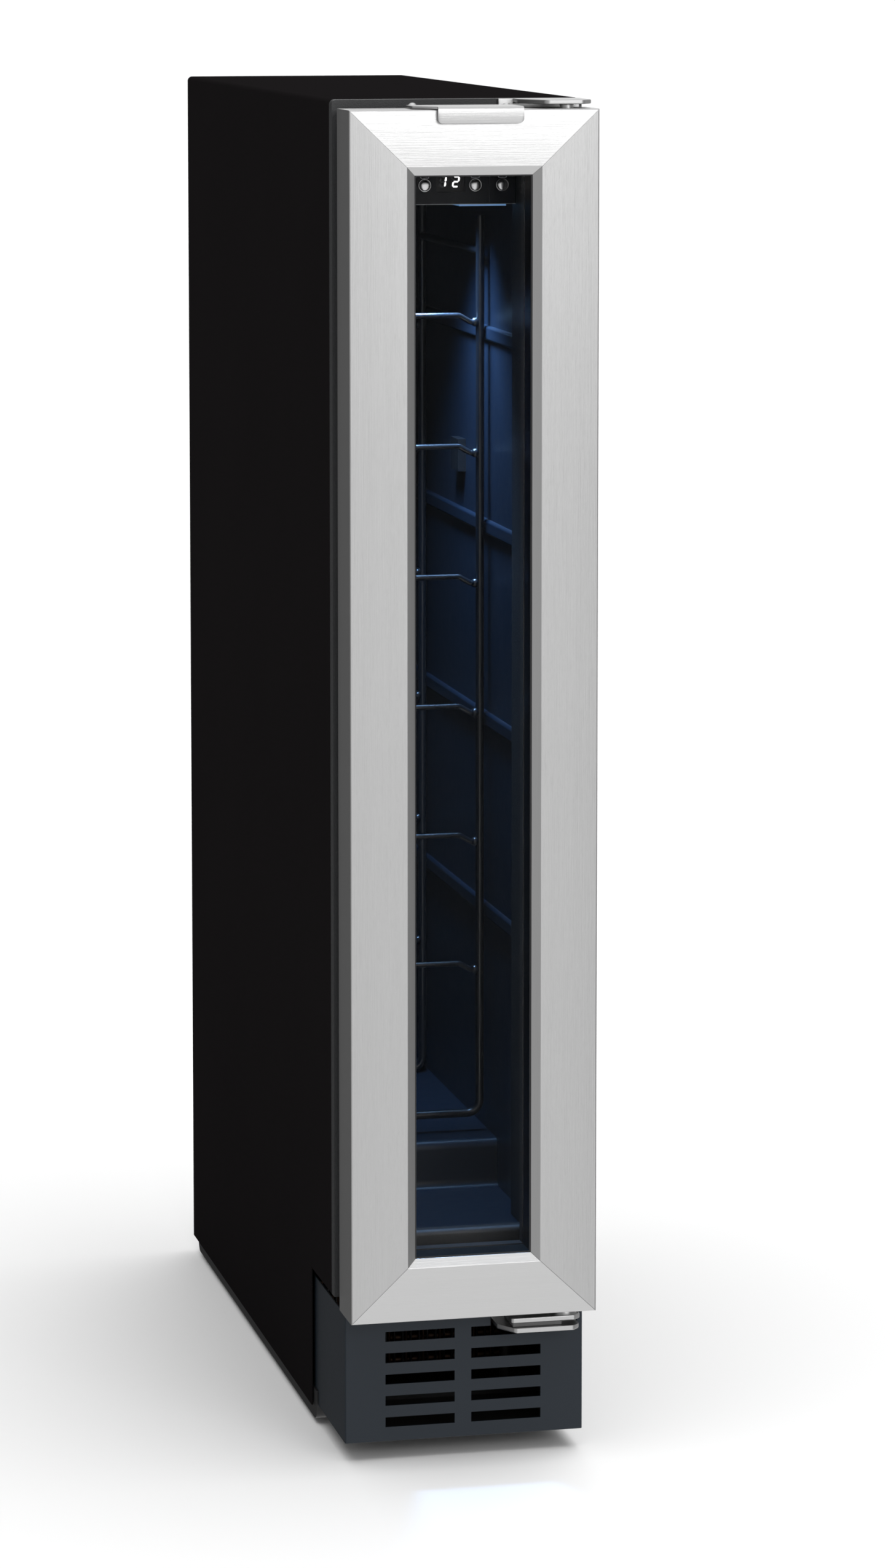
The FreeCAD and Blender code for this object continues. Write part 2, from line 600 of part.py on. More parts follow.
def top_hinge():
    """A bracket on the mouth frame: a leaf, a plate over the door and the pin under it."""
    body = part_body("top_hinge_bracket")
    low = d.cabinet_top - d.top_plate
    add(body, "XY_Plane", low, d.cabinet_top,
        [(32.5, d.frame_front), (32.5, d.frame_front - 14), (44, -252), (66, -252), (72, -246),
         (72, d.frame_front)])
    soften(body, 4, lambda p, a: abs(a.z) > 0.9 and p.y < -240)
    add(body, "XZ_Plane", d.frame_front - 2, d.frame_front, frame_outline(23.6, 72, 783, d.cabinet_top))
    add(body, "XY_Plane", low - 18, low + 1, circles=[(d.hinge_x, d.hinge_y, d.pin_radius)])
    finished(body, "top_hinge_bracket")
    seat = d.frame_front - 2
    head = rod("hinge_screw_head", (28.4, seat - 1.8, d.screw_level), 2.8, 1.8, "y")
    recess = rod("hinge_screw_recess", (28.4, seat - 2.8, d.screw_level), 1, 2, "y")
    finished(without("hinge_screw_whole", head, recess), "top_hinge_screw")
    head = rod("flange_screw_head", (-26.6, d.frame_front - 1.4, d.screw_level), 3, 1.4, "y")
    shank = rod("flange_screw_shank", (-26.6, d.frame_front - 1, d.screw_level), 1.5, 6, "y")
    recess = rod("flange_screw_recess", (-26.6, d.frame_front - 2, d.screw_level), 1, 1.4, "y")
    finished(without("flange_screw_whole", fused("flange_screw_solid", head, shank), recess), "flange_screw")


def bottom_hinge():
    """A lower plate fixed to the cabinet, a spacer, an upper arm with the pin, and a washer."""
    plate_low, plate_high = d.low_plate, d.low_plate + d.hinge_plate
    arm_low = plate_high + d.hinge_spacer
    arm_high = arm_low + d.hinge_plate
    body = part_body("bottom_hinge_bracket")
    add(body, "XY_Plane", plate_low, plate_high,
        [(17.6, -243), (26, -256), (61, -256), (65, -252), (65, -244), (60, d.frame_front),
         (17.6, d.frame_front)])
    soften(body, 3, lambda p, a: abs(a.z) > 0.9 and p.y < -240)
    soften(body, 1, lambda p, a: abs(a.z) < 0.1 and near(p.z, plate_low) and p.y < -240)
    add(body, "XZ_Plane", d.frame_front - 3, d.frame_front, frame_outline(17.6, 60, plate_low, 99))
    finished(body, "bottom_hinge_bracket")
    finished(block("bottom_hinge_spacer", (25, -253, plate_high), (54.5, -230, arm_low)),
             "bottom_hinge_spacer")
    body = part_body("bottom_hinge_arm")
    add(body, "XY_Plane", arm_low, arm_high,
        [(23.8, -254), (62, -254), (66, -250), (66, -236), (62, -232), (23.8, -232)])
    soften(body, 2, lambda p, a: abs(a.z) > 0.9)
    add(body, "XY_Plane", arm_high - 1, arm_high + 20, circles=[(d.hinge_x, d.hinge_y, d.pin_radius)])
    finished(body, "bottom_hinge_arm")
    washer = without("washer_ring", rod("washer_outside", (d.hinge_x, d.hinge_y, arm_high), 7.5, d.washer),
                     rod("washer_inside", (d.hinge_x, d.hinge_y, arm_high - 1), d.pin_radius + 0.1, 6))
    finished(washer, "hinge_washer")
    for word, x in (("left", 28), ("right", 47)):
        name = f"bottom_hinge_screw_{word}"
        head = rod(f"{name}_head", (x, -247, plate_low - 1.8), 4, 1.8)
        recess = rod(f"{name}_recess", (x, -247, plate_low - 2), 1.5, 1.2)
        finished(without(f"{name}_whole", head, recess), name)


# ---------------------------------------------------------------- door

door_half = d.door_width / 2
pin_hole = d.bush_radius + 0.1


def mitre_slope():
    return (d.door_high - d.window_high) / (door_half - d.window_half)


def door_stile(word, side):
    """An upright of the steel front: bevel, face and side return, mitred at both ends."""
    body = part_body(f"door_stile_{word}")
    edge, inner, face_rear = side * door_half, side * d.window_half, d.door_front + d.skin
    bevel = side * (d.window_half + d.bevel_width)
    add(body, "XY_Plane", d.door_low, d.door_high,
        [(edge, d.door_back - 1), (edge, d.door_front), (bevel, d.door_front),
         (inner, d.door_front + d.bevel_depth), (inner, d.door_front + d.bevel_depth + d.skin),
         (bevel + side * 0.5, face_rear), (edge - side * d.skin, face_rear),
         (edge - side * d.skin, d.door_back - 1)])
    soften(body, 0.9, lambda p, a: near(p.y, d.door_front) and near(p.x, edge))
    for corner, window, beyond in ((d.door_high, d.window_high, d.door_high + 1),
                                   (d.door_low, d.window_low, d.door_low - 1)):
        take(body, "XZ_Plane", d.door_front - 1, d.door_back,
             [(edge, corner), (inner, window), (inner, beyond), (edge, beyond)])
    finished(body, f"door_stile_{word}")


def door_rail(word, edge, window, sign):
    """A cross rail of the steel front, mitred at both ends, with the hole for its hinge bush."""
    body = part_body(f"door_rail_{word}")
    face_rear = d.door_front + d.skin
    bevel = window + sign * d.bevel_width
    add(body, "YZ_Plane", -door_half, door_half,
        [(d.door_back - 1, edge), (d.door_front, edge), (d.door_front, bevel),
         (d.door_front + d.bevel_depth, window), (d.door_front + d.bevel_depth + d.skin, window),
         (face_rear, bevel + sign * 0.5), (face_rear, edge - sign * d.skin),
         (d.door_back - 1, edge - sign * d.skin)])
    soften(body, 0.9, lambda p, a: near(p.y, d.door_front) and near(p.z, edge))
    for side in (-1, 1):
        take(body, "XZ_Plane", d.door_front - 1, d.door_back,
             [(side * door_half, edge), (side * d.window_half, window),
              (side * d.window_half, window - sign), (side * (door_half + 1), window - sign),
              (side * (door_half + 1), edge)])
    take(body, "XY_Plane", edge - 2, edge + 2, circles=[(d.hinge_x, d.hinge_y, pin_hole)])
    finished(body, f"door_rail_{word}")


def door_core():
    """The plastic frame behind the steel, with the pocket that the glazing sits in."""
    body = part_body("door_core")
    edge = door_half - d.skin - 0.1
    low, high = d.door_low + d.skin + 0.1, d.door_high - d.skin - 0.1
    add(body, "XZ_Plane", d.door_front + d.skin + 0.1, d.door_back,
        frame_outline(-edge, edge, low, high),
        frame_outline(-d.window_half - 1, d.window_half + 1, d.window_low - 1, d.window_high + 1))
    take(body, "XZ_Plane", d.door_front, d.inner_glass_front + d.glass,
         frame_outline(-46, 46, d.window_low - 11.5, d.window_high + 11.5))
    depth = 17.5
    take(body, "XY_Plane", high - depth, high + 1, circles=[(d.hinge_x, d.hinge_y, d.bush_radius)])
    take(body, "XY_Plane", low - 1, low + depth, circles=[(d.hinge_x, d.hinge_y, d.bush_radius)])
    finished(body, "door_core")
    pin_bore = d.pin_radius + d.running_gap
    for word, start, length in (("top", high - depth, d.door_high - high + depth),
                                ("bottom", d.door_low, low + depth - d.door_low)):
        name = f"door_bush_{word}"
        sleeve = rod(f"{name}_sleeve", (d.hinge_x, d.hinge_y, start), d.bush_radius, length)
        bore_start = start + 1.5 if word == "top" else start - 1
        bore = rod(f"{name}_bore", (d.hinge_x, d.hinge_y, bore_start), pin_bore, length - 0.5)
        finished(without(f"{name}_whole", sleeve, bore), name)


def glazing():
    """Two panes held apart by a spacer, and the magnetic seal behind them."""
    wide = 45.8
    low, high = d.window_low - 11.3, d.window_high + 11.3
    finished(block("door_glass_outer", (-wide, d.glass_front, low), (wide, d.glass_front + d.glass, high)),
             "door_glass_outer")
    finished(block("door_glass_inner", (-wide, d.inner_glass_front, low),
                   (wide, d.inner_glass_front + d.glass, high)), "door_glass_inner")
    body = part_body("glass_spacer")
    add(body, "XZ_Plane", d.glass_front + d.glass, d.inner_glass_front,
        frame_outline(-wide, wide, low, high),
        frame_outline(-d.window_half - 0.6, d.window_half + 0.6, d.window_low - 0.6, d.window_high + 0.6))
    finished(body, "glass_spacer")
    body = part_body("door_gasket")
    band = d.gasket_band
    low, high = d.frame_bottom + 5, d.door_high - 12
    add(body, "XZ_Plane", d.door_back, d.door_back + d.gasket_depth,
        frame_outline(-d.gasket_half, d.gasket_half, low, high),
        frame_outline(-d.gasket_half + band, d.gasket_half - band, low + band, high - band))
    soften(body, 1.5, lambda p, a: near(p.y, d.door_back + d.gasket_depth))
    finished(body, "door_gasket")


def door_handle():
    """A bent steel tab on the top of the door whose lip turns down in front of it."""
    top, thick = d.door_high, 1.4
    front = -d.cabinet_rear
    body = part_body("door_handle")
    add(body, "XY_Plane", top, top + 0.8,
        [(-34, -240), (-22, -256), (28, -256), (28, -232), (-34, -232)])
    add(body, "XY_Plane", top + 0.4, top + 1.8, frame_outline(-21, 28, front, -238))
    add(body, "XZ_Plane", front, front + thick,
        [(-22, top + 1.8), (28, top + 1.8), (28, top - 7.7), (-18, top - 7.7), (-22, top - 2)])
    soften(body, 2, lambda p, a: abs(a.y) > 0.9 and p.z < (top - 5).value and p.y < -262)
    soften(body, 1, lambda p, a: abs(a.x) > 0.9 and near(p.y, front) and near(p.z, top + 1.8))
    finished(body, "door_handle")


# ---------------------------------------------------------------- assembly

outer_shell()
rear_sheets()
base_tray()
insulation_foam()
inner_liner()
liner_front_frame()
rack()
evaporator()
control_panel()
compressor()
refrigerant_circuit()
fan("condenser_fan", (0, -40, 56), 46, 25, 42)
electrics()
plinth_grille()
levelling_feet()
top_hinge()
bottom_hinge()
door_stile("left", -1)
door_stile("right", 1)
door_rail("top", d.door_high, d.window_high, 1)
door_rail("bottom", d.door_low, d.window_low, -1)
door_core()
glazing()
door_handle()

doc.recompute()
for item in doc.Objects:
    if {"Invalid", "Error"} & set(item.State):
        raise RuntimeError(f"{item.Label} failed")
for item in subparts:
    if item.Shape.isNull() or not item.Shape.isValid() or item.Shape.Volume <= 0:
        raise RuntimeError(f"{item.Label} has no valid shape")

os.makedirs("parts", exist_ok=True)
for item in subparts:
    item.Shape.exportStep(f"parts/{item.Label}.step")
print(len(subparts), "sub-parts")
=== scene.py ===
# %% [markdown]
# # A slim wine cooler, dressed in Blender
# The design already has every sheet, pane, rod and screw at its real size. This lesson gives those parts
# their finishes, swaps a few for finer ones, and lights them on a pale floor. First the frame is loaded.
# Nothing made later may grow the object.

# %% Load the design
import json
import math
import bmesh
import bpy
from mathutils import Matrix, Vector

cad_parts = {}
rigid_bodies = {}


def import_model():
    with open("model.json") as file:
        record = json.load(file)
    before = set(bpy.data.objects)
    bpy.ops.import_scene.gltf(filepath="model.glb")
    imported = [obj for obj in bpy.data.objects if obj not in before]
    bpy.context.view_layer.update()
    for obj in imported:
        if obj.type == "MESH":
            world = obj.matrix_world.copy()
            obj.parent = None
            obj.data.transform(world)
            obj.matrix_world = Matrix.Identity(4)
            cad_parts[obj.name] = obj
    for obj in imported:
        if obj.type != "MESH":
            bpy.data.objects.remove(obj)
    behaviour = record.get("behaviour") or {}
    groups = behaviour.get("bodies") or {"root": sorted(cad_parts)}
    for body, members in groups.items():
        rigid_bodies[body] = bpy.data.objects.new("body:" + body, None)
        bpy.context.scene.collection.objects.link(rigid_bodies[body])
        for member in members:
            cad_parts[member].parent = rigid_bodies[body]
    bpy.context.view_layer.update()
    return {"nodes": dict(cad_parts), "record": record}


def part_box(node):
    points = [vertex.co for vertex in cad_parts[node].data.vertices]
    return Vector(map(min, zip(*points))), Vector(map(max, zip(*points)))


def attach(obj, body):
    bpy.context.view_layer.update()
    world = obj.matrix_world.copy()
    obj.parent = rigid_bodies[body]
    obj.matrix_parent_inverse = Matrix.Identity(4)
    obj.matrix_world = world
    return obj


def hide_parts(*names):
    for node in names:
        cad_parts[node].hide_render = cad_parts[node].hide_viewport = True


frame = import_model()
MM = 0.001
OBJECTS = bpy.context.scene.collection.objects


def mm(corner):
    """A corner in millimetres."""
    return Vector(corner) / MM


# %% [markdown]
# A finish is easiest to read when its maths looks like maths. `Signal` wraps a shader socket, so that
# `mask * 0.2 + 0.3` adds the Math nodes by itself. `Graph` adds every other node, its settings first.

# %% Shader maths
class Signal:
    """One output socket that can be added, subtracted and multiplied."""

    def __init__(self, finish, socket):
        self.finish = finish
        self.socket = socket

    def maths(self, operation, left, right):
        return self.finish.node("Math", {"operation": operation}, {0: left, 1: right})

    def __add__(self, other):
        return self.maths("ADD", self, other)

    def __sub__(self, other):
        return self.maths("SUBTRACT", self, other)

    def __rsub__(self, other):
        return self.maths("SUBTRACT", other, self)

    def __mul__(self, other):
        return self.maths("MULTIPLY", self, other)

    __radd__ = __add__
    __rmul__ = __mul__


class Graph:
    """A shader tree that adds nodes by kind."""

    def __init__(self, tree):
        self.tree = tree

    def feed(self, socket, value):
        if isinstance(value, Signal):
            self.tree.links.new(value.socket, socket)
        elif isinstance(value, tuple) and len(value) == 3 and socket.type == "RGBA":
            socket.default_value = (*value, 1)
        else:
            socket.default_value = value

    def node(self, kind, settings=None, sockets=None, out=0):
        """Adds a node: its settings first, then its sockets by name or number."""
        node = self.tree.nodes.new(f"ShaderNode{kind}")
        for name, value in (settings or {}).items():
            setattr(node, name, value)
        for name, value in (sockets or {}).items():
            self.feed(node.inputs[name], value)
        return Signal(self, node.outputs[out]) if out is not None else node


print("operators ready: + - *")

# %% [markdown]
# `Finish` owns one material with one principled shader. Its patterns read Object coordinates, which are in
# metres here, so a scale is simply the number of features in a metre of the real thing.

# %% Finishes
class Finish(Graph):
    """A material with one principled shader, made from named inputs."""

    def __init__(self, name, **fixed):
        self.material = bpy.data.materials.new(name)
        self.material.use_nodes = True
        super().__init__(self.material.node_tree)
        self.shader = self.tree.nodes["Principled BSDF"]
        self.paint(**fixed)

    def paint(self, **sockets):
        for name, value in sockets.items():
            self.feed(self.shader.inputs[name.replace("_", " ")], value)

    def place(self, scale):
        """Object coordinates stretched by a scale along each axis."""
        where = self.node("TexCoord", out="Object")
        return self.node("Mapping", sockets={"Vector": where, "Scale": scale})

    def noise(self, scale, detail=3.0, roughness=0.5):
        """Cloudy noise; the scale is features per metre, one number or one for each axis."""
        along = scale if isinstance(scale, tuple) else (scale, scale, scale)
        sockets = {"Vector": self.place(along), "Scale": 1.0, "Detail": detail, "Roughness": roughness}
        return self.node("TexNoise", sockets=sockets, out="Fac")

    def blend(self, factor, first, second):
        """A colour between two others; a Mix node keeps its colour sockets at 6 and 7."""
        return self.node("Mix", {"data_type": "RGBA"}, {0: factor, 6: first, 7: second}, out=2)

    def bump(self, height, strength, depth):
        """A bump of a real depth in metres."""
        sockets = {"Height": height, "Strength": strength, "Distance": depth}
        return self.node("Bump", sockets=sockets, out="Normal")


def grey(value):
    return (value, value, value)


def dimmed(colour, share):
    """A colour with every channel taken down to a share of itself."""
    return tuple(channel * share for channel in colour)


print("a grey and a darker one:", grey(0.5), dimmed(grey(0.5), 0.8))

# %% [markdown]
# The door front is brushed stainless sheet. Brushing leaves fine scratches that run with each strip of
# the frame, upright on the stiles and level on the rails, so the noise is squeezed across the strokes and
# stretched along them. The scratches change the roughness most, the colour a little and the height least.

# %% Brushed steel, in two directions
STROKES_ACROSS, STROKES_ALONG = 2600, 26
STEEL_ROUGHNESS = 0.26
STROKE_DEPTH = 0.00012


def brushed_steel(name, across, base):
    """Brushed sheet; `across` gives strokes per metre along X, Y and Z."""
    steel = Finish(name, Metallic=1.0, Specular_IOR_Level=0.5)
    strokes = steel.noise(across, detail=4.0, roughness=0.65)
    broad = steel.noise(tuple(number / 14 for number in across), detail=2.0)
    mottle = steel.noise(9, detail=2.0)
    shade = strokes * 0.5 + broad * 0.3 + mottle * 0.2
    steel.paint(
        Base_Color=steel.blend(shade, grey(base - 0.04), grey(base + 0.06)),
        Roughness=shade * 0.16 + STEEL_ROUGHNESS,
        Normal=steel.bump(strokes, 0.6, STROKE_DEPTH),
    )
    return steel.material


# The level copy has a lighter base than the upright one: a painted sheen, because the rails catch more light
# than the stiles.
UPRIGHT = brushed_steel("brushed_upright", (STROKES_ACROSS, STROKES_ACROSS, STROKES_ALONG), 0.53)
LEVEL = brushed_steel("brushed_level", (STROKES_ALONG, STROKES_ACROSS, STROKES_ACROSS), 0.60)
print("steel:", UPRIGHT.name, LEVEL.name)

# %% [markdown]
# The cabinet is pre-painted black sheet with a flat face that hardly mirrors. Paint is never quite even:
# a slow orange-peel swell breaks up the light. The plinth paint is black with a soft satin gloss, tinted
# blue-grey as a painted reflection, and the wires of the rack have a glossy dip coating.

# %% Painted sheet
def painted(name, colour, rough, peel=260, coat=0.0, gloss=0.4):
    """Sheet paint with orange peel and a faint cloudiness."""
    paint = Finish(name, Specular_IOR_Level=gloss, Coat_Roughness=0.3)
    swell = paint.noise(peel, detail=2.0)
    cloud = paint.noise(7)
    paint.paint(
        Base_Color=paint.blend(cloud, dimmed(colour, 0.86), colour),
        Roughness=cloud * 0.08 + swell * 0.04 + (rough - 0.06),
        Coat_Weight=coat,
        Normal=paint.bump(swell, 0.18, 0.0001),
    )
    return paint.material


BLACK_PAINT = painted("black_flat_paint", (0.0098, 0.0088, 0.0092), 0.6, gloss=0.0)
TRAY_PAINT = painted("tray_paint", (0.012, 0.012, 0.013), 0.5)
# The plinth's blue-grey tint is a painted reflection; the sheet itself is black.
PLINTH_PAINT = painted("plinth_paint", (0.014, 0.020, 0.028), 0.46, peel=420, gloss=0.3)
WIRE_PAINT = painted("rack_coating", (0.012, 0.013, 0.016), 0.22, peel=500, coat=0.6)
ENAMEL = painted("compressor_enamel", (0.008, 0.008, 0.009), 0.3, peel=120, coat=0.4)
print("paints:", *(paint.name for paint in (BLACK_PAINT, TRAY_PAINT, PLINTH_PAINT, WIRE_PAINT, ENAMEL)))

# %% [markdown]
# Moulded plastics differ by their mould. The mouth frame has a leather grain of small raised cells, the
# room behind it came off a nearly polished mould, and the hidden parts are plain matte plastic.

# %% Plastics and rubber
GRAIN_DEPTH = 0.00003
POLISHED_DEPTH = 0.00001


def moulded(name, colour, rough, grain=900, depth=GRAIN_DEPTH, gloss=0.5):
    """Plain moulded plastic with a fine random grain."""
    plastic = Finish(name, Specular_IOR_Level=gloss)
    texture = plastic.noise(grain)
    cloud = plastic.noise(12, detail=2.0)
    plastic.paint(
        Base_Color=plastic.blend(cloud, dimmed(colour, 0.88), colour),
        Roughness=texture * 0.08 + cloud * 0.05 + (rough - 0.06),
        Normal=plastic.bump(texture, 0.4, depth),
    )
    return plastic.material


def leather_grain(name, colour):
    """Rounded cells a millimetre wide with narrow valleys, as on a grained moulding."""
    grain = Finish(name, Specular_IOR_Level=0.5)
    warp = grain.noise(700, detail=2.0)
    cells = grain.node(
        "TexVoronoi", {"feature": "DISTANCE_TO_EDGE"},
        {"Vector": grain.place((900, 900, 900)), "Scale": 1.0, "Randomness": 1.0}, out="Distance")
    height = cells * 0.7 + warp * 0.6
    grain.paint(
        Base_Color=grain.blend(height, dimmed(colour, 0.7), colour),
        Roughness=0.56 - height * 0.14,
        Normal=grain.bump(height, 0.55, 0.00022),
    )
    return grain.material


GRAINED = leather_grain("grained_frame_plastic", (0.034, 0.035, 0.037))
# The liner is black plastic; its blue tint is painted light from the blue lamp inside.
LINER = moulded("liner_plastic", (0.011, 0.018, 0.030), 0.34, grain=220, depth=0.000008, gloss=0.3)
BLACK_PLASTIC = moulded("black_plastic", (0.008, 0.008, 0.009), 0.5, gloss=0.3)
CORE_PLASTIC = moulded("door_core_plastic", (0.045, 0.045, 0.046), 0.45)
FASCIA = moulded("fascia_gloss", (0.0042, 0.0050, 0.0070), 0.24, grain=150, depth=POLISHED_DEPTH, gloss=0.12)
SMOKED = moulded("display_window", (0.011, 0.0105, 0.0105), 0.2, grain=150, depth=POLISHED_DEPTH, gloss=0.12)
BOARD = moulded("circuit_board", (0.01, 0.09, 0.04), 0.45)
BUSH = moulded("bush_plastic", (0.55, 0.55, 0.53), 0.4)
SPACER = moulded("hinge_spacer_plastic", (0.10, 0.10, 0.10), 0.42)
TUBE = moulded("drain_tube_plastic", (0.30, 0.31, 0.32), 0.35)
FOAM = moulded("foam", (0.62, 0.50, 0.28), 0.8, grain=600, depth=0.0003)
RUBBER = moulded("seal_rubber", (0.016, 0.016, 0.017), 0.62, grain=1400)
FOOT = moulded("foot_plastic", (0.012, 0.012, 0.012), 0.55)
print("grained:", GRAINED.name, "- polished:", LINER.name, FASCIA.name, SMOKED.name)

# %% [markdown]
# Bare metals: the hinge plates are zinc plated and tumbled, with soft clouds of brighter and duller zinc.
# Screws and button rims are brighter, the cooling pipes are drawn copper, and the coil at the back has
# browned with heat.

# %% Bare metals
def bare_metal(name, colour, rough, swing=0.12, scratch=900):
    """Plated or drawn metal with clouds and fine rubbing."""
    metal = Finish(name, Metallic=1.0)
    cloud = metal.noise(60, detail=4.0)
    rub = metal.noise((scratch, scratch, scratch / 6))
    mark = cloud * 0.65 + rub * 0.35
    metal.paint(
        Base_Color=metal.blend(mark, dimmed(colour, 0.78), colour),
        Roughness=mark * swing + (rough - swing / 2),
        Normal=metal.bump(rub, 0.25, GRAIN_DEPTH),
    )
    return metal.material


ZINC = bare_metal("zinc_plate", (0.62, 0.62, 0.62), 0.34)
BRIGHT = bare_metal("bright_screw_steel", (0.78, 0.78, 0.78), 0.22, swing=0.08)
CHROME = bare_metal("button_chrome", (0.88, 0.88, 0.89), 0.22, swing=0.05, scratch=300)
COPPER = bare_metal("drawn_copper", (0.62, 0.30, 0.17), 0.32)
OLD_COPPER = bare_metal("browned_copper", (0.09, 0.055, 0.04), 0.45)
ALUMINIUM = bare_metal("aluminium", (0.70, 0.71, 0.72), 0.38)
SPACER_BAR = bare_metal("dark_spacer_bar", (0.11, 0.105, 0.10), 0.42)
print("metals:", *(metal.name for metal in (ZINC, BRIGHT, CHROME, COPPER, OLD_COPPER, ALUMINIUM, SPACER_BAR)))

# %% [markdown]
# The glazing is two clear panes, a little smoked. A thin principled sheet that lets most light through
# reads as glass and stays cheap. The display digits and the lamp lens give light of their own.

# %% Glass and light
def pane_glass(name, tint, alpha):
    glass = Finish(name, Base_Color=tint, Roughness=0.03, IOR=1.5, Specular_IOR_Level=0.5)
    film = glass.noise(5, detail=2.0)
    glass.paint(Alpha=film * 0.02 + (alpha - 0.01), Roughness=film * 0.03 + 0.02)
    glass.material.surface_render_method = "BLENDED"
    return glass.material


def glowing(name, colour, strength, base):
    lamp = Finish(name, Base_Color=grey(base), Roughness=0.35, Emission_Strength=strength)
    cloud = lamp.noise(400, detail=2.0)
    lamp.paint(Emission_Color=lamp.blend(cloud, dimmed(colour, 0.94), colour))
    return lamp.material


PANE = pane_glass("door_pane", (0.015, 0.018, 0.022), 0.02)
LIT = glowing("lit_segment", (1.0, 1.0, 1.0), 2.6, 0.8)
LAMP = glowing("lamp_lens", (0.10, 0.28, 0.60), 0.6, 0.3)
DIM = moulded("dim_segment", (0.075, 0.078, 0.082), 0.4)
PRINT = moulded("panel_print", (0.42, 0.44, 0.47), 0.5)
print("glass and light:", PANE.name, LIT.name, LAMP.name)

# %% [markdown]
# Every part of the design now gets its finish. Parts that stay as they are only change their material.

# %% Finish of each design part
FINISH_OF = {
    BLACK_PAINT: "outer_shell", TRAY_PAINT: "base_tray back_panel rear_cover", PLINTH_PAINT: "plinth_grille",
    FOAM: "insulation_foam", LINER: "inner_liner", GRAINED: "liner_front_frame",
    WIRE_PAINT: "rack_front_frame rack_rear_frame rack_rail_left rack_rail_right",
    ALUMINIUM: "evaporator_plate",
    BLACK_PLASTIC: "evaporator_cover evaporator_fan_frame evaporator_fan_rotor condenser_fan_frame "
                   "condenser_fan_rotor control_housing electronics_box mains_inlet evaporation_tray "
                   "temperature_sensor",
    FASCIA: "control_fascia", SMOKED: "display_module", BOARD: "control_board", LAMP: "led_diffuser",
    CHROME: "light_button down_button power_button", ENAMEL: "compressor",
    COPPER: "suction_pipe filter_dryer", OLD_COPPER: "condenser_coil", TUBE: "drain_tube",
    ZINC: "top_hinge_bracket bottom_hinge_bracket bottom_hinge_arm", SPACER: "bottom_hinge_spacer",
    BRIGHT: "hinge_washer top_hinge_screw flange_screw bottom_hinge_screw_left bottom_hinge_screw_right",
    UPRIGHT: "door_stile_left door_stile_right", LEVEL: "door_rail_top door_rail_bottom door_handle",
    CORE_PLASTIC: "door_core", PANE: "door_glass_outer door_glass_inner", SPACER_BAR: "glass_spacer",
    RUBBER: "door_gasket", BUSH: "door_bush_top door_bush_bottom",
    FOOT: "foot_front_left foot_front_right foot_rear_left foot_rear_right",
}
finish_of = {node: material for material, nodes in FINISH_OF.items() for node in nodes.split()}
body_of = {node: body for body, nodes in frame["record"]["behaviour"]["bodies"].items() for node in nodes}
for node, thing in frame["nodes"].items():
    thing.data.materials.clear()
    thing.data.materials.append(finish_of[node])
print(len(finish_of), "parts painted")

# %% [markdown]
# A finer piece takes over from a part, or joins it, by the same two steps each time: its material and the
# body that carries it. Modifiers are baked first, so that what is handed over is plain mesh.

# %% Handing a piece over
def hand_over(thing, body, material=None):
    """Gives a finished piece its material and the body that carries it."""
    if material:
        thing.data.materials.clear()
        thing.data.materials.append(material)
    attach(thing, body)
    return thing


def stand_in(thing, node, material):
    """Puts a finer piece in the place of a design part."""
    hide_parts(node)
    return hand_over(thing, body_of[node], material)


def eased_edges(thing, width, degrees):
    """Gives every edge sharper than an angle a small round of two steps."""
    bevel = thing.modifiers.new("ease", "BEVEL")
    bevel.width = width * MM
    bevel.segments = 2
    bevel.limit_method = "ANGLE"
    bevel.angle_limit = math.radians(degrees)
    bevel.use_clamp_overlap = True
    return bevel


def settled(thing):
    """Bakes the modifiers of a piece into a plain mesh."""
    graph = bpy.context.evaluated_depsgraph_get()
    graph.update()
    mesh = bpy.data.meshes.new_from_object(thing.evaluated_get(graph))
    thing.modifiers.clear()
    thing.data = mesh
    return thing


# %% [markdown]
# Real sheet and plate have eased edges that catch the light, and a knife edge looks like a drawing. For
# the parts that show, a copy of the design's mesh is merged, its flat faces are joined up and its sharp
# edges get a small bevel. The copy then stands for the part.

# %% Eased copies of sheet parts
def eased(node, width):
    """A bevelled copy of a design part."""
    mesh = frame["nodes"][node].data.copy()
    work = bmesh.new()
    work.from_mesh(mesh)
    bmesh.ops.remove_doubles(work, verts=work.verts, dist=0.005 * MM)
    bmesh.ops.dissolve_limit(work, angle_limit=math.radians(1.0), verts=work.verts, edges=work.edges)
    for face in work.faces:
        face.smooth = True
    work.to_mesh(mesh)
    work.free()
    for name in ("custom_normal", "sharp_edge", "sharp_face"):
        if name in mesh.attributes:
            mesh.attributes.remove(mesh.attributes[name])
    thing = bpy.data.objects.new(f"{node}_eased", mesh)
    OBJECTS.link(thing)
    eased_edges(thing, width, 28).harden_normals = True
    return stand_in(settled(thing), node, finish_of[node])


EASED = {
    0.22: "door_stile_left door_stile_right door_rail_top door_rail_bottom plinth_grille",
    0.3: "outer_shell base_tray",
    0.6: "bottom_hinge_bracket bottom_hinge_arm top_hinge_bracket bottom_hinge_spacer control_fascia",
    0.8: "liner_front_frame",
}
for width, nodes in EASED.items():
    for node in nodes.split():
        piece = eased(node, width)
        print(piece.name, len(piece.data.polygons), "faces")

# %% [markdown]
# Small pieces are built point by point. `loft` joins equal outlines by walls, as a tent stands on its
# hoops, and leaves a closed solid, whose normals are then turned outwards. Curved faces are shaded
# smooth, so `sharpen` marks the edges that should stay crisp.

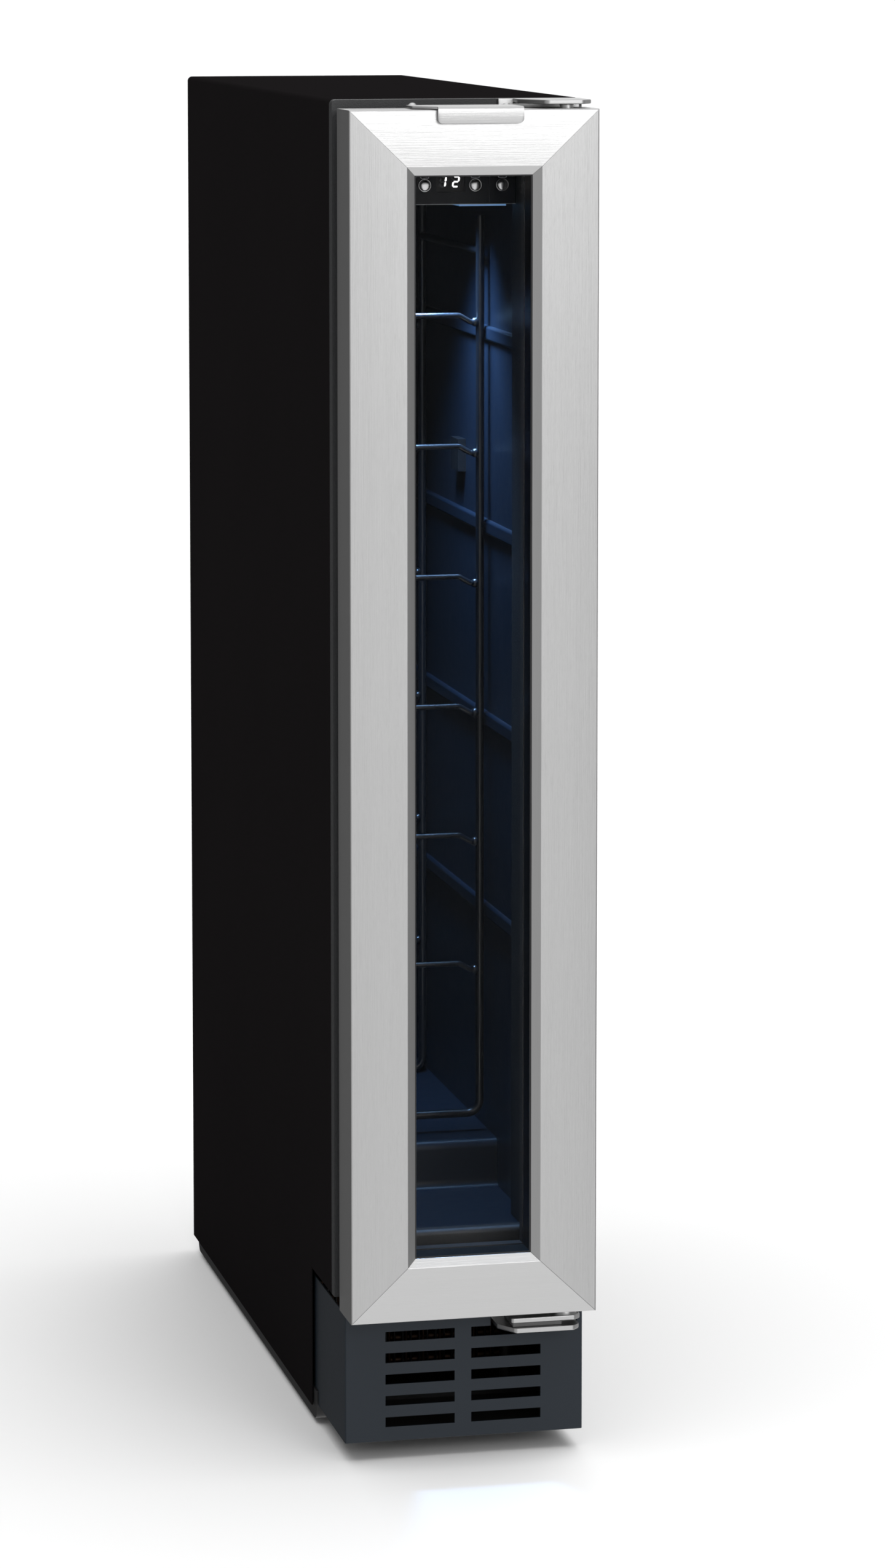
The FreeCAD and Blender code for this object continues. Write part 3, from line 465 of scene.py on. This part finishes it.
# %% Lofted solids
def linked(name, work):
    """Turns a finished bmesh into an object with smooth faces and outward normals."""
    bmesh.ops.remove_doubles(work, verts=work.verts, dist=0.002 * MM)
    bmesh.ops.recalc_face_normals(work, faces=work.faces)
    for face in work.faces:
        face.smooth = True
    mesh = bpy.data.meshes.new(name)
    work.to_mesh(mesh)
    work.free()
    thing = bpy.data.objects.new(name, mesh)
    OBJECTS.link(thing)
    return thing


def loft(work, outlines, ring=False):
    """Joins equal outlines in millimetres; a ring meets its own start, the rest get end caps."""
    loops = [[work.verts.new(Vector(corner) * MM) for corner in outline] for outline in outlines]
    pairs = list(zip(loops, loops[1:]))
    if ring:
        pairs.append((loops[-1], loops[0]))
    else:
        work.faces.new(loops[0])
        work.faces.new(loops[-1][::-1])
    for first, second in pairs:
        for index in range(len(first)):
            after = (index + 1) % len(first)
            work.faces.new((first[index], second[index], second[after], first[after]))


def lofted(name, outlines, ring=False):
    """A piece that is one loft."""
    work = bmesh.new()
    loft(work, outlines, ring)
    return linked(name, work)


def sharpen(thing, degrees=35):
    """Marks the edges that should stay crisp."""
    work = bmesh.new()
    work.from_mesh(thing.data)
    for edge in work.edges:
        edge.smooth = len(edge.link_faces) == 2 and edge.calc_face_angle(0) < math.radians(degrees)
    work.to_mesh(thing.data)
    work.free()
    return thing


print("loft ready")

# %% [markdown]
# Screws, domed buttons and wires are round, so they come off a small lathe: a profile of radius and
# height is carried round an axis, and a point at radius zero closes it.

# %% A small lathe
TURNS = {"z": Matrix.Identity(3), "y": Matrix.Rotation(-math.pi / 2, 3, "X"),
         "-y": Matrix.Rotation(math.pi / 2, 3, "X"), "-z": Matrix.Rotation(math.pi, 3, "X")}


def hoop(work, centre, axis, radius, steps, height):
    """A ring of points round an axis, `height(x, y)` along it; radius zero gives one tip."""
    points = []
    for step in range(steps if radius > 0 else 1):
        angle = math.tau * step / steps
        x, y = radius * math.cos(angle), radius * math.sin(angle)
        points.append(work.verts.new((Vector(centre) + TURNS[axis] @ Vector((x, y, height(x, y)))) * MM))
    return points


def skin(work, hoops, steps, closed=False):
    """Covers a row of hoops with faces, down to triangles at a tip."""
    pairs = list(zip(hoops, hoops[1:]))
    if closed:
        pairs.append((hoops[-1], hoops[0]))
    for lower, upper in pairs:
        for step in range(steps):
            corners = [lower[step % len(lower)], lower[(step + 1) % len(lower)],
                       upper[(step + 1) % len(upper)], upper[step % len(upper)]]
            corners = list(dict.fromkeys(corners))
            if len(corners) > 2:
                work.faces.new(corners)


def turned(name, profile, centre, axis, steps, closed=False):
    """A turned piece; the profile is (radius, height) in millimetres."""
    work = bmesh.new()
    hoops = [hoop(work, centre, axis, radius, steps, lambda x, y: height) for radius, height in profile]
    skin(work, hoops, steps, closed)
    return linked(name, work)


print("axes:", *TURNS)

# %% [markdown]
# The control panel is read through the glass, so its small parts carry the eye. Each button is a chrome
# dome in a dark recess, turned from one profile, with a thin bright rim that belongs to the panel.

# %% Domed buttons and their rims
BUTTONS = {"light_button": -15.2, "down_button": 14.9, "power_button": 31.0}
BUTTON_LEVEL = 745.3
FASCIA_FRONT = -198.0
COLLAR_RADIUS, COLLAR_HEIGHT = 4.3, 1.2
DOME_RADIUS, DOME_RISE = 2.95, 0.7
RIM_RADIUS, RIM_HALF_WIDE, RIM_HALF_THICK = 3.55, 0.22, 0.18

for node, across in BUTTONS.items():
    low, high = (mm(corner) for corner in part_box(node))
    length = high.y - low.y
    dome = [(DOME_RADIUS * math.cos(angle), length - DOME_RISE + DOME_RISE * math.sin(angle))
            for angle in (math.radians(step * 11.25) for step in range(8))]
    profile = [(0, 0), (COLLAR_RADIUS, 0), (COLLAR_RADIUS, COLLAR_HEIGHT), (DOME_RADIUS, COLLAR_HEIGHT),
               *dome, (0, length)]
    cap = turned(f"{node}_dome", profile, (across, high.y, BUTTON_LEVEL), "-y", 48)
    stand_in(sharpen(cap, 40), node, CHROME)

    profile = [(RIM_RADIUS + RIM_HALF_WIDE * math.cos(math.tau * step / 10),
                RIM_HALF_THICK * math.sin(math.tau * step / 10)) for step in range(10)]
    rim = turned(f"{node}_rim", profile, (across, FASCIA_FRONT, BUTTON_LEVEL), "-y", 56, closed=True)
    hand_over(rim, "cabinet", CHROME)
print(len(BUTTONS), "domes and rims")

# %% [markdown]
# The display has two seven-segment digits that lean by eight degrees. The window holds all fourteen
# segments. Those of the set temperature are lit, and the rest stay faintly visible, as on the real part.

# %% Seven-segment display
DIGIT_WIDE, DIGIT_TALL, BAR, GAP = 4.0, 6.6, 0.85, 0.18
DIGIT_LEVEL, DIGIT_FOOT = 747.25, 743.9
DIGIT_FRONT, DIGIT_BACK = -197.85, -197.45
LEAN = math.tan(math.radians(8))
SEGMENTS = {"a": (0, 1, "level"), "g": (0, 0, "level"), "d": (0, -1, "level"), "f": (-1, 0.5, "upright"),
            "b": (1, 0.5, "upright"), "e": (-1, -0.5, "upright"), "c": (1, -0.5, "upright")}


def slab(outline, front, back):
    """The two outlines of a flat plate, from an outline in X and Z and two depths."""
    return [[(x, depth, z) for x, z in outline] for depth in (front, back)]


def segment(left, key):
    """One leaning hexagonal bar of the digit that starts at `left`."""
    side, level, way = SEGMENTS[key]
    middle_x = left + DIGIT_WIDE / 2 + side * (DIGIT_WIDE - BAR) / 2
    middle_z = DIGIT_LEVEL + level * (DIGIT_TALL - BAR) / 2
    reach = ((DIGIT_WIDE - BAR) if way == "level" else (DIGIT_TALL - BAR) / 2) / 2 - GAP
    half = BAR / 2
    bar = [(-reach, 0), (-reach + half, half), (reach - half, half), (reach, 0), (reach - half, -half),
           (-reach + half, -half)]
    if way == "upright":
        bar = [(z, x) for x, z in bar]
    outline = [(middle_x + x + LEAN * (middle_z + z - DIGIT_FOOT), middle_z + z) for x, z in bar]
    return slab(outline, DIGIT_FRONT, DIGIT_BACK)


for name, left, lit in (("tens", -6.9, "bc"), ("units", 0.9, "abged")):
    unlit = [key for key in SEGMENTS if key not in lit]
    for state, keys, material in (("lit", lit, LIT), ("dim", unlit, DIM)):
        work = bmesh.new()
        for key in keys:
            loft(work, segment(left, key))
        hand_over(linked(f"digit_{name}_{state}", work), "cabinet", material)
    print(name, len(lit), "segments lit,", len(unlit), "dim")

# %% [markdown]
# Printed marks sit above the buttons, half hidden by the door's top rail: plain rounded boxes, with a
# lamp ring, an arrow and a power bar as their signs. Print has almost no thickness. A fine seam and a
# lower bead finish the panel.

# %% Printed marks
def rounded(half_wide, half_tall, corner):
    """The outline of a rounded rectangle about the origin, six steps to a corner."""
    points = []
    for quarter, (x, z) in enumerate(((1, 1), (-1, 1), (-1, -1), (1, -1))):
        for step in range(7):
            angle = math.pi / 2 * (quarter + step / 6)
            points.append((x * (half_wide - corner) + corner * math.cos(angle),
                           z * (half_tall - corner) + corner * math.sin(angle)))
    return points


MARK_LEVEL = 751.7
PRINT_FRONT, PRINT_BACK = -198.06, -197.98
BOX_OUTSIDE, BOX_INSIDE = rounded(2.55, 2.4, 0.7), rounded(2.25, 2.1, 0.45)
SIGNS = {"light_button": [(math.cos(turn_by) * 0.9, math.sin(turn_by) * 0.9)
                          for turn_by in (math.tau * step / 20 for step in range(20))],
         "down_button": [(-1.0, 0.7), (1.0, 0.7), (0, -0.9)],
         "power_button": [(-0.25, -1.0), (0.25, -1.0), (0.25, 1.0), (-0.25, 1.0)]}


def plate(left, right, low, high):
    return [(left, low), (right, low), (right, high), (left, high)]


for node, across in BUTTONS.items():
    work = bmesh.new()
    loft(work, [[(across + x, depth, MARK_LEVEL + z) for x, z in outline] for outline, depth in (
        (BOX_OUTSIDE, PRINT_FRONT), (BOX_INSIDE, PRINT_FRONT),
        (BOX_INSIDE, PRINT_BACK), (BOX_OUTSIDE, PRINT_BACK))], ring=True)
    sign = [(across + x, MARK_LEVEL + z) for x, z in SIGNS[node]]
    loft(work, slab(sign, PRINT_FRONT, PRINT_BACK))
    hand_over(linked(f"{node}_mark", work), "cabinet", PRINT)
seam = lofted("panel_seam", slab(plate(23.2, 23.32, 735.0, 769.0), -198.04, -197.98))
hand_over(seam, "cabinet", DIM)
bead = lofted("panel_lower_bead", slab(plate(-39.0, 39.0, 734.05, 734.4), -198.05, -197.9))
hand_over(bead, "cabinet", PRINT)
print(len(SIGNS), "marks, a seam and a bead")

# %% [markdown]
# The handle is one folded strip: a flange that lies on the top edge of the door, and a lip over the front
# with rounded lower corners, which the fingers pull. The fold is drawn once from the side, then lofted
# across in columns whose feet rise round the corners. Its edges are rolled smooth.

# %% Folded handle
HANDLE_LOW, HANDLE_HIGH = (mm(corner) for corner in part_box("door_handle"))
LIP_LEFT, LIP_RIGHT, LIP_CORNER = -22.0, 28.0, 2.6
SHEET, BEND = 1.4, 1.8
FLANGE_FRONT, SHOULDER = 2.2, 14


def corner_arc(centre, radius, first, last, steps):
    """Points of an arc in degrees, for an outline."""
    angles = (math.radians(first + (last - first) * step / steps) for step in range(steps + 1))
    return [(centre[0] + radius * math.cos(angle), centre[1] + radius * math.sin(angle)) for angle in angles]


front, foot, top = HANDLE_LOW.y, HANDLE_LOW.z, HANDLE_HIGH.z
bend = (front + BEND, top - BEND)
fold = [(front, foot), (front, top - BEND), *corner_arc(bend, BEND, 180, 90, 7),
        (front + SHEET + 1.0, top), (front + SHEET + 1.0, top - SHEET),
        *corner_arc(bend, BEND - SHEET, 90, 180, 3), (front + SHEET, foot)]
columns = [(LIP_LEFT + LIP_CORNER * (1 - math.cos(turned_by)), LIP_CORNER * (1 - math.sin(turned_by)))
           for turned_by in (math.radians(degrees) for degrees in range(0, 91, 10))]
columns += [(LIP_LEFT + LIP_RIGHT - x, rise) for x, rise in reversed(columns)]
flange = [(LIP_RIGHT, front + FLANGE_FRONT), (LIP_RIGHT, HANDLE_HIGH.y), (HANDLE_LOW.x, HANDLE_HIGH.y),
          (HANDLE_LOW.x, front + SHOULDER), (LIP_LEFT, front + FLANGE_FRONT)]
work = bmesh.new()
loft(work, [[(x, y, z + (rise if z == foot else 0)) for y, z in fold] for x, rise in columns])
loft(work, [[(x, y, z) for x, y in flange] for z in (top - SHEET, top)])
handle = linked("handle_fold", work)
eased_edges(handle, 0.25, 40)
stand_in(sharpen(settled(handle), 40), "door_handle", LEVEL)
print("handle:", len(handle.data.polygons), "faces")

# %% [markdown]
# The door seal is a magnetic bellows: a soft base band clipped to the door, two folds that let it give,
# and a box at the front that holds the magnet strip. One section is carried round with mitred corners,
# and a small bead round the window is made the same way.

# %% Bellows seal
def mitred(section, half_wide, low, high):
    """Carries a closed (inward, depth) section round an upright rectangle."""
    loops = []
    for inward, depth in section:
        x, bottom, top = half_wide - inward, low + inward, high - inward
        loops.append([(-x, depth, bottom), (x, depth, bottom), (x, depth, top), (-x, depth, top)])
    return loops


SEAL = [(0.2, -225.9), (0.2, -224.9), (1.6, -224.4), (3.0, -223.9), (2.0, -222.8), (1.0, -221.9),
        (2.2, -221.0), (3.1, -220.3), (1.3, -219.6), (0.5, -218.6), (0.5, -217.0), (1.1, -216.4),
        (8.9, -216.4), (9.5, -217.0), (9.5, -218.6), (8.7, -219.6), (6.9, -220.3), (7.8, -221.0),
        (9.0, -221.9), (8.0, -222.8), (7.0, -223.9), (8.4, -224.4), (9.8, -224.9), (9.8, -225.9)]
BEAD = [(0.0, -256.6), (0.0, -257.3), (0.25, -257.6), (0.8, -257.6), (1.0, -257.3), (1.0, -256.95)]
seal = lofted("door_seal_bellows", mitred(SEAL, 58, 100, 779.2), ring=True)
stand_in(sharpen(seal, 62), "door_gasket", RUBBER)
window_bead = lofted("window_bead", mitred(BEAD, 34.6, 126.3, 754.1), ring=True)
hand_over(window_bead, "door", RUBBER)
print("seal:", len(seal.data.polygons), "faces, bead:", len(window_bead.data.polygons))

# %% [markdown]
# The screws have pressed cross recesses. A fine disc is bent into a shallow dome, and the points inside
# the cross are pushed down, so the recess is real and catches the light. Each screw of the design is
# listed with its axis, the height of its edge and of its crown, and the depth of the cross.

# %% Cross-recess screws
SEAT_GAP = 0.02


def cross_screw(name, centre, axis, radius, dome, depth, rings=22, steps=96):
    """A domed head with a cross recess; `centre` is the middle of the seat."""
    edge, crown = dome
    arm, half = radius * 0.52, radius * 0.13

    def height(x, y):
        inside = max(abs(x), abs(y)) < arm and min(abs(x), abs(y)) < half
        return edge + (crown - edge) * (1 - (reach / radius) ** 2) - depth * inside

    work = bmesh.new()
    hoops = []
    for ring in range(rings + 1):
        reach = radius * ring / rings
        hoops.append(hoop(work, centre, axis, reach, steps, height))
    hoops += [hoop(work, centre, axis, end, steps, lambda x, y: 0) for end in (radius, 0)]
    skin(work, hoops, steps)
    return sharpen(linked(name, work), 38)


SCREWS = {
    "top_hinge_screw": ("-y", 0.7, 1.7, 0.9),
    "flange_screw": ("-y", 0.5, 1.3, 0.7),
    "bottom_hinge_screw_left": ("-z", 0.5, 1.75, 0.8),
    "bottom_hinge_screw_right": ("-z", 0.5, 1.75, 0.8),
}
for node, (axis, edge, crown, depth) in SCREWS.items():
    low, high = (mm(corner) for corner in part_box(node))
    middle = (low + high) / 2
    if axis == "-y":
        centre = (middle.x, low.y + crown + SEAT_GAP, middle.z)
        radius = (high.z - low.z) / 2
    else:
        centre = (middle.x, middle.y, low.z + crown + SEAT_GAP)
        radius = (high.x - low.x) / 2
    screw = cross_screw(f"{node}_head", centre, axis, radius, (edge, crown), depth)
    stand_in(screw, node, BRIGHT)
    print(screw.name, f"{2 * radius:.1f} mm wide")

# %% [markdown]
# The condenser is a coil with thin wires welded across it. The wires repeat, so Geometry Nodes sets a
# row of points, puts one wire on each and hands back a plain mesh.

# %% Condenser wires by Geometry Nodes
def row_of(name, single, count, start, step, material):
    """Repeats a small mesh along a line of points with Geometry Nodes."""
    tree = bpy.data.node_groups.new(name, "GeometryNodeTree")
    sockets = {}
    for label, kind in (("Count", "Int"), ("Start", "Vector"), ("Step", "Vector")):
        entry = tree.interface.new_socket(label, in_out="INPUT", socket_type=f"NodeSocket{kind}")
        sockets[label] = entry.identifier
    tree.interface.new_socket("Geometry", in_out="OUTPUT", socket_type="NodeSocketGeometry")
    given = tree.nodes.new("NodeGroupInput")
    line = tree.nodes.new("GeometryNodeMeshLine")
    source = tree.nodes.new("GeometryNodeObjectInfo")
    source.inputs["Object"].default_value = single
    spread = tree.nodes.new("GeometryNodeInstanceOnPoints")
    real = tree.nodes.new("GeometryNodeRealizeInstances")
    paint = tree.nodes.new("GeometryNodeSetMaterial")
    paint.inputs["Material"].default_value = material
    result = tree.nodes.new("NodeGroupOutput")
    for output, entry in (
            (given.outputs["Count"], line.inputs["Count"]),
            (given.outputs["Start"], line.inputs["Start Location"]),
            (given.outputs["Step"], line.inputs["Offset"]),
            (line.outputs["Mesh"], spread.inputs["Points"]),
            (source.outputs["Geometry"], spread.inputs["Instance"]),
            (spread.outputs["Instances"], real.inputs["Geometry"]),
            (real.outputs["Geometry"], paint.inputs["Geometry"]),
            (paint.outputs["Geometry"], result.inputs[0])):
        tree.links.new(output, entry)
    host = bpy.data.objects.new(name, bpy.data.meshes.new(name))
    OBJECTS.link(host)
    repeat = host.modifiers.new("row", "NODES")
    repeat.node_group = tree
    for label, value in (("Count", count), ("Start", start), ("Step", step)):
        repeat[sockets[label]] = value
    settled(host)
    bpy.data.objects.remove(single)
    return host


WIRES, WIRE_RADIUS = 22, 0.7
END_INSET, SIDE_INSET, PROUD = 2, 6, 0.6
coil_low, coil_high = (mm(corner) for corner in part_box("condenser_coil"))
tall = coil_high.z - coil_low.z - 2 * END_INSET
wire = turned("one_wire", [(0, 0), (WIRE_RADIUS, 0), (WIRE_RADIUS, tall), (0, tall)], (0, 0, 0), "z", 10)
pitch = (coil_high.x - coil_low.x - 2 * SIDE_INSET) / (WIRES - 1)
start = Vector((coil_low.x + SIDE_INSET, coil_low.y - PROUD, coil_low.z + END_INSET)) * MM
wires = row_of("condenser_wires", wire, WIRES, start, (pitch * MM, 0, 0), ENAMEL)
hand_over(sharpen(wires), "cabinet")
print(WIRES, f"condenser wires, {pitch:.2f} mm apart")

# %% [markdown]
# Behind, a hemmed strip closes the joint between the back panel and the roof of the cabinet, and small
# pan-head screws hold the panel and the removable cover of the machine compartment.

# %% Rear strip and screws
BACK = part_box("back_panel")[1][1] / MM
HEM = [(-0.9, 791.9), (0.3, 791.9), (0.75, 792.4), (0.75, 795.3), (0.3, 795.7), (-0.9, 795.7)]
SCREW_LEVELS = (29, 131, 152, 460, 782)
PAN_RADIUS, PAN_EDGE_AND_CROWN, PAN_CROSS = 2.9, (0.3, 0.95), 0.5


def strip(section, left, right):
    """The two ends of a strip, from its section in Y and Z."""
    return [[(x, y, z) for y, z in section] for x in (left, right)]


hem = lofted("rear_hem", strip([(BACK + y, z) for y, z in HEM], -72.6, 72.6))
hand_over(sharpen(hem), "cabinet", TRAY_PAINT)
for level in SCREW_LEVELS:
    for word, across in (("left", -67), ("right", 67)):
        screw = cross_screw(f"rear_screw_{word}_{level}", (across, BACK - 0.05, level), "y", PAN_RADIUS,
                            PAN_EDGE_AND_CROWN, PAN_CROSS, rings=14, steps=48)
        hand_over(screw, "cabinet", BRIGHT)
print("a hem and", 2 * len(SCREW_LEVELS), "rear screws")

# %% [markdown]
# The plinth is one folded sheet. A dark strip turns back under the cabinet from its lower edge and keeps the
# floor out of sight behind the slots, so they read dark: a sheet that stands in for the shade under the
# cabinet.

# %% Plinth return that stands in for shade
plinth_low, plinth_high = (mm(corner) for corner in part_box("plinth_grille"))
# A dark strip under the cabinet, put there as painted shade behind the slots.
SHADE_RETURN = [(plinth_low.y + 1.2, 12.3), (-158.0, 12.3), (-157.0, 12.9), (-157.0, 17.0), (-157.8, 17.0),
          (-157.8, 13.3), (plinth_low.y + 1.2, 13.3)]
shade_return = lofted("plinth_return", strip(SHADE_RETURN, plinth_low.x + 1.4, plinth_high.x - 1.4))
hand_over(sharpen(shade_return), "cabinet", TRAY_PAINT)
print("plinth return:", len(shade_return.data.polygons), "faces")

# %% [markdown]
# The floor is a wide pale sheet. It catches the soft shadow but is left out of mirror images, so that the
# lower half of the steel doesn't turn white.

# %% Floor
REACH = 40
floor_mesh = bpy.data.meshes.new("floor")
floor_mesh.from_pydata([(-REACH, -REACH, 0), (REACH, -REACH, 0), (REACH, REACH, 0), (-REACH, REACH, 0)],
                       [], [(0, 1, 2, 3)])
floor = bpy.data.objects.new("floor", floor_mesh)
OBJECTS.link(floor)
FLOOR = Finish("pale_floor", Base_Color=grey(0.86), Roughness=0.75, Specular_IOR_Level=0.2)
floor_mesh.materials.append(FLOOR.material)
floor.visible_glossy = False
bpy.context.scene.view_settings.view_transform = "Standard"
print("floor:", 2 * REACH, "m wide")

# %% [markdown]
# The studio is a bright room with a dark left side. Brushed metal needs something to mirror: light that
# fades to both sides gives the front its even grey and leaves the black cabinet side dark. The world's
# strength is a sum of two such fades, one for the half in front of the cooler and one for the half behind.

# %% Room light
world = bpy.data.worlds.new("studio")
bpy.context.scene.world = world
world.use_nodes = True
room = Graph(world.node_tree)
sky = world.node_tree.nodes["Background"]
axes = room.node("SeparateXYZ", sockets={0: room.node("TexCoord", out="Generated")}, out=None)
sideways, depth = (Signal(room, axes.outputs[name]) for name in "XY")


def rising(signal, low, high, start, end):
    """A smooth ramp from `start` to `end` while the signal goes from low to high."""
    sockets = {"Value": signal, "From Min": low, "From Max": high, "To Min": start, "To Max": end}
    return room.node("MapRange", {"interpolation_type": "SMOOTHSTEP"}, sockets)


behind = rising(sideways, -0.10, 0.05, 0.12, 1.05) * rising(sideways, 0.45, 0.7, 1.0, 0.4)
before = rising(sideways, -0.5, 0.08, 0.5, 1.0) * rising(sideways, 0.35, 0.8, 1.0, 0.3)
front_share = rising(depth, -0.25, 0.25, 1.0, 0.0)
room.feed(sky.inputs["Strength"], behind * (1 - front_share) + before * front_share)
room.feed(sky.inputs["Color"], (1.0, 1.0, 1.0))
print("room light:", len(world.node_tree.nodes), "nodes")

# %% [markdown]
# Three lamps do the rest. A very soft sun overhead makes the shadow on the floor, a cool lamp under the
# control panel lights the room of the cooler, and a weak key from the right puts a sheen on the door.

# %% Lamps
def soft_light(name, at, toward, size, power, colour=(1, 1, 1)):
    """A rectangular lamp at one place that faces another."""
    data = bpy.data.lights.new(name, "AREA")
    data.shape = "RECTANGLE"
    data.size, data.size_y = size
    data.energy = power
    data.color = colour
    light = bpy.data.objects.new(name, data)
    light.location = at
    light.rotation_euler = (Vector(toward) - Vector(at)).to_track_quat("-Z", "Y").to_euler()
    OBJECTS.link(light)
    return light


overhead = bpy.data.lights.new("overhead", "SUN")
overhead.energy = 2.2
overhead.angle = math.radians(70)
overhead_lamp = bpy.data.objects.new("overhead", overhead)
overhead_lamp.location = (0, 0, 4)
overhead_lamp.visible_glossy = False
OBJECTS.link(overhead_lamp)
COOL_WHITE = (0.30, 0.56, 1.0)
LAMP_PLACE, ROOM_FLOOR = (0.0, -0.085, 0.729), (0.012, -0.08, 0.2)
cool_lamp = soft_light("cool_lamp", LAMP_PLACE, ROOM_FLOOR, (0.05, 0.04), 0.75, COOL_WHITE)
cool_lamp.data.spread = math.radians(88)
soft_light("key", (1.0, -3.3, 1.55), (0, -0.26, 0.75), (1.4, 0.8), 17.5)
print("lamps: overhead, cool_lamp, key")

# %% [markdown]
# A long lens from far away keeps the upright edges almost parallel. The camera looks down a little, and
# its sensor is shifted so that the tall cooler still fills the frame.

# %% Camera
YAW = 0.22275
PITCH = math.radians(6.05)
camera_data = bpy.data.cameras.new("camera")
camera_data.lens = 116.5
camera_data.shift_y = -0.2
camera_data.clip_end = 200
camera = bpy.data.objects.new("camera", camera_data)
camera.location = (-0.6517, -3.0676, 0.8909)
forward = Vector((math.sin(YAW) * math.cos(PITCH), math.cos(YAW) * math.cos(PITCH), -math.sin(PITCH)))
camera.rotation_euler = forward.to_track_quat("-Z", "Y").to_euler()
OBJECTS.link(camera)
bpy.context.scene.camera = camera
print("camera:", camera_data.lens, "mm lens")
